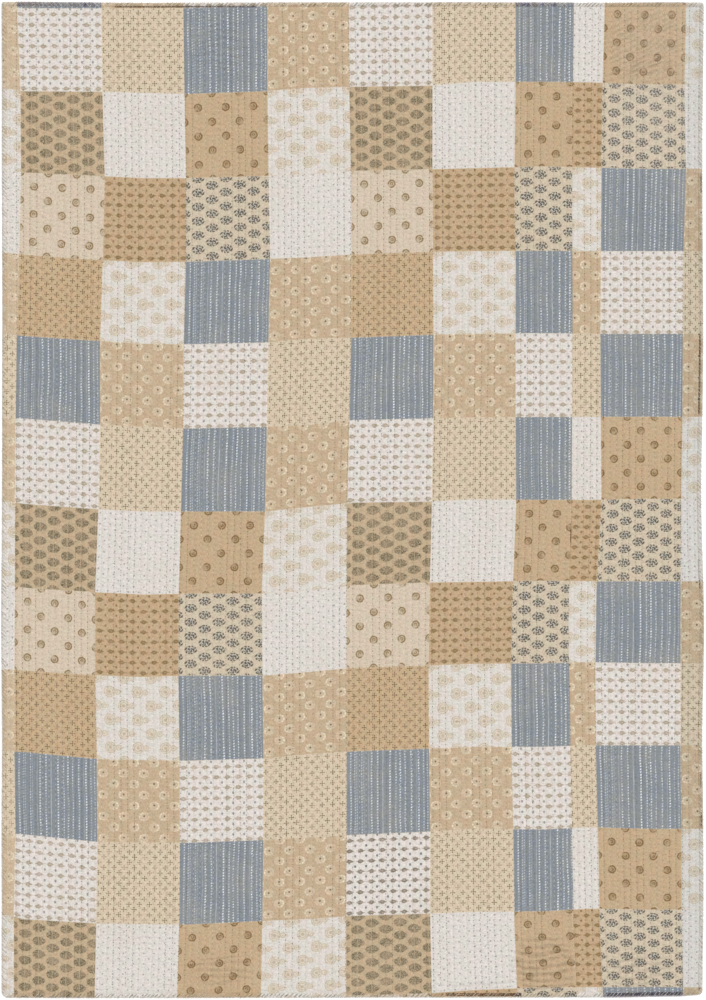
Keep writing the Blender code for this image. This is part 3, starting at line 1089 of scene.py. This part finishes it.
def makeHem(name, isWide):
    line, run = hemLine(isWide)
    turn = np.arange(hem["around"]) * wholeTurn / hem["around"]
    plump = 1.0 + hem["plumpStray"] * np.sin(run * 23.0) * np.sin(run * 7.1 + 2.0)
    phase = (uneven(run[:, None] + hem["halfWide"] * np.cos(turn)) / hem["threadPitch"]) * wholeTurn
    groove = (0.5 + 0.5 * np.cos(phase)) ** hem["grooveSharp"]
    outward = np.cos(turn) * (hem["halfWide"] * plump[:, None] - hem["grooveWide"] * groove)
    onTop = np.sin(turn) > 0
    height = hem["halfTall"] + np.sin(turn) * (hem["halfTall"] - hem["grooveTall"] * groove * onTop)
    across = line[:, :1] + np.cos(line[:, 2:]) * outward
    along = line[:, 1:2] + np.sin(line[:, 2:]) * outward
    x, y = strayed(across, along)
    points = np.stack([x, y, height], -1).reshape(-1, 3)
    count = len(line)
    around = np.arange(hem["around"])
    following = (around + 1) % hem["around"]
    ring = np.arange(count - 1)[:, None] * hem["around"]
    walls = np.stack([ring + around, ring + hem["around"] + around,
                      ring + hem["around"] + following, ring + following], -1).reshape(-1, 4)
    caps = np.stack([around, (count - 1) * hem["around"] + around[::-1]])
    made = meshFromArrays(name, points, [walls, caps])
    outShare = np.broadcast_to(np.cos(turn), groove.shape)
    flat = np.stack([across.ravel(), along.ravel()], -1)
    dressCloth(made, flat, np.stack([groove.ravel(), outShare.ravel()], -1), isWide)
    print(name, "rolled,", len(walls), "faces")
    return made


def overcastPaths(line, run, starts, lean):   # threads over the roll, whose inner ends lie ahead
    section = np.array(overcastSection) * mm
    leans = lean + random.uniform(-hem["leanStray"], hem["leanStray"], len(starts))
    at = starts[:, None] - section[:, 0] * leans[:, None]
    across = np.interp(at, run, line[:, 0]) + np.cos(np.interp(at, run, line[:, 2])) * section[:, 0]
    along = np.interp(at, run, line[:, 1]) + np.sin(np.interp(at, run, line[:, 2])) * section[:, 0]
    x, y = strayed(across, along)
    return np.stack([x, y, np.broadcast_to(section[:, 1], x.shape)], -1)


def makeOvercasting(side, isWide):
    line, run = hemLine(isWide)
    marks = np.arange(2, int(uneven(run[-1]) / hem["threadPitch"]) - 1) * hem["threadPitch"]
    starts = np.interp(marks, uneven(run), run)
    starts = starts[random.uniform(0, 1, len(starts)) > hem["missing"]]
    paths = [overcastPaths(line, run, starts, 1.0)]
    for low, high in zigzags:
        across = np.interp(starts, run, line[:, 0])
        along = np.interp(starts, run, line[:, 1])
        crossed = starts[(across > low) & (across < high) & (along > quiltLength / 2)]
        if len(crossed):
            crossing = overcastPaths(line, run, crossed + hem["threadPitch"] / 2, -1.0)
            paths.append(crossing + (0, 0, hem["crossedLift"]))
    paths = np.concatenate(paths)
    isWorn = random.uniform(0, 1, len(paths)) < hem["worn"]
    groups = (("Overcasting", ~isWorn, whiteThread), ("WornOvercasting", isWorn, wornThread))
    for name, chosen, material in groups:
        threadPieces(side + name, paths[chosen], hem["thread"], hem["threadSides"], material)
    print(side, "overcasting:", len(paths))


brownThread = threadCotton("brownThread", (129, 115, 96), (154, 138, 115))
paleThread = threadCotton("paleThread", (242, 237, 226), (226, 214, 194))
whiteThread = threadCotton("whiteThread", (232, 226, 214), (212, 203, 188))
wornThread = threadCotton("wornThread", (200, 189, 170), (176, 164, 146))
wideHem = makeHem("wideHem", True)
narrowHem = makeHem("narrowHem", False)
makeOvercasting("wide", True)
makeOvercasting("narrow", False)

makePanel("panel_wideCloth", True)
makePanel("panel_narrowCloth", False)

# running stitches, in rows from foot to head
running = {
    "lengthStray": 0.0007,
    "placeStray": 0.0005,      # along
    "wander": 0.0004,          # how far a row strays sideways
    "thickness": 0.0009,
    "brownLength": 0.0034,     # the brown thread is thicker, and shows less of each stitch
    "brownThickness": 0.0013,
    "sides": 3,
    "fromEnd": 0.0125,         # first stitch from the quilt's edge
    "lean": 0.0003,
    # points of one stitch: share of its half length from its middle, height above the cloth
    "section": ((-1.0, -0.0004), (-0.5, 0.00025), (0.5, 0.00025), (1.0, -0.0004)),
    # rows that start a band of four in the brown thread; the rest are in the pale one
    "brownBands": (1, 9, 16, 24, 33, 41, 49, 55, 63, 70, 77, 86, 92, 99),
    "bandRows": 4,
}


def sewnPaths(across, along, reach, lean, section):   # stitches over the cloth, one path each
    paths = []
    for share, lift in section:
        atAcross = across + lean * share
        atAlong = along + reach * share
        x, y = laidPoint(atAcross, atAlong)
        paths.append(np.stack([x, y, clothHeight(atAcross, atAlong) + lift], -1))
    return np.stack(paths, 1)


def stitchRow(row, length):               # the stitches of one row, as paths
    isWide = row < wideCount
    start, end, count = widthRows(isWide)
    inWidth = row if isWide else row - wideCount
    middle = start + (end - start) * (inWidth + 0.5) / count
    first = math.ceil(running["fromEnd"] / stitchPitch) + row * rowStagger % 1.0
    along = np.arange(first * stitchPitch, quiltLength - running["fromEnd"], stitchPitch)
    along = along + random.uniform(-1, 1, len(along)) * running["placeStray"]
    phase = random.uniform(0, wholeTurn, 2)
    sway = 0.6 * np.sin(along * 9.0 + phase[0]) + 0.4 * np.sin(along * 31.0 + phase[1])
    across = middle + running["wander"] * sway
    half = (length + random.uniform(-1, 1, len(along)) * running["lengthStray"]) / 2
    lean = random.uniform(-1, 1, len(along)) * running["lean"]
    return sewnPaths(across, along, half, lean, running["section"])


def makeRunningStitches():
    brownRows = {band + step for band in running["brownBands"] for step in range(running["bandRows"])}
    groups = {}
    for row in range(wideCount + narrowCount):
        side = "wide" if row < wideCount else "narrow"
        shade = "Brown" if row in brownRows else "Pale"
        length = running["brownLength"] if row in brownRows else stitchLength
        groups.setdefault((side, shade), []).append(stitchRow(row, length))
    for (side, shade), rows in groups.items():
        paths = np.concatenate(rows)
        material = brownThread if shade == "Brown" else paleThread
        thickness = running["brownThickness"] if shade == "Brown" else running["thickness"]
        threadPieces(side + shade + "Stitches", paths, thickness, running["sides"], material)
        print(side, shade.lower(), "stitches:", len(paths))


makeRunningStitches()

# the seam's own stitches show in a line on the wide width
seamThread = {
    "beside": 0.0022,          # from the seam
    "pitch": 0.0062,
    "length": 0.0042,
    "thickness": 0.0008,
    "placeStray": 0.0005,
    "wander": 0.0003,
    # points of one stitch: share of its length from its middle, height above the cloth
    "section": ((-0.5, -0.0004), (-0.3, 0.0003), (0.3, 0.0003), (0.5, -0.0004)),
}

# a few thread ends stick out past the rim, and a few snippets lie on the cloth
loose = {
    "thickness": 0.0008,
    "sides": 6,
    "points": 8,
    "startHeight": 0.0024,     # where an end leaves the rim, above the floor
    "fall": 0.0019,            # from there to its tip
    "snippetLift": 0.0004,     # above the cloth
}

# a loose end: across and along where it leaves the rim, direction in degrees, length, bend in degrees
looseEnds = (
    (0.8395, 1.7955, 78, 0.011, 24),
    (0.0035, 0.6235, 196, 0.010, -30),
    (0.4380, 0.0040, 268, 0.009, 20),
    (0.5655, 0.0040, 276, 0.008, -26),
    (1.2650, 1.0280, 2, 0.012, 8),
    (1.2650, 1.7700, 24, 0.011, 30),
)

# snippets of thread left on the cloth, in the same columns
snippets = (
    (0.3533, 0.4945, 33, 0.0072, 10),
    (0.3768, 0.4990, 4, 0.0105, -10),
)


def makeSeamStitches():
    along = np.arange(running["fromEnd"], quiltLength - running["fromEnd"], seamThread["pitch"])
    along = along[abs(along - quilt["slitMiddle"]) > quilt["slitLength"] / 2]
    along = along + random.uniform(-1, 1, len(along)) * seamThread["placeStray"]
    across = quilt["seamAcross"] - seamThread["beside"] + seamThread["wander"] * np.sin(along * 17.0)
    paths = sewnPaths(across, along, seamThread["length"], 0.0, seamThread["section"])
    threadPieces("seamStitches", paths, seamThread["thickness"], running["sides"], paleThread)
    print("seam stitches:", len(along))


def makeLooseEnds():
    steps = np.linspace(0.0, 1.0, loose["points"])
    paths = []
    for across, along, direction, length, bend in looseEnds + snippets:
        turn = np.radians(direction + bend * steps)
        headings = np.stack([np.cos(turn), np.sin(turn)])
        travelled = np.concatenate([[[0.0], [0.0]], np.cumsum(headings, 1)[:, :-1]], 1)
        atAcross, atAlong = np.array([[across], [along]]) + travelled * length / (len(steps) - 1)
        x, y = strayed(atAcross, atAlong)
        height = loose["startHeight"] - loose["fall"] * steps
        if (across, along) in [item[:2] for item in snippets]:
            height = clothHeight(atAcross, atAlong) + loose["snippetLift"]
        paths.append(np.stack([x, y, height], -1))
    threadPieces("looseEnds", np.stack(paths), loose["thickness"], loose["sides"], whiteThread)
    print("loose ends:", len(paths))


makeSeamStitches()
makeLooseEnds()
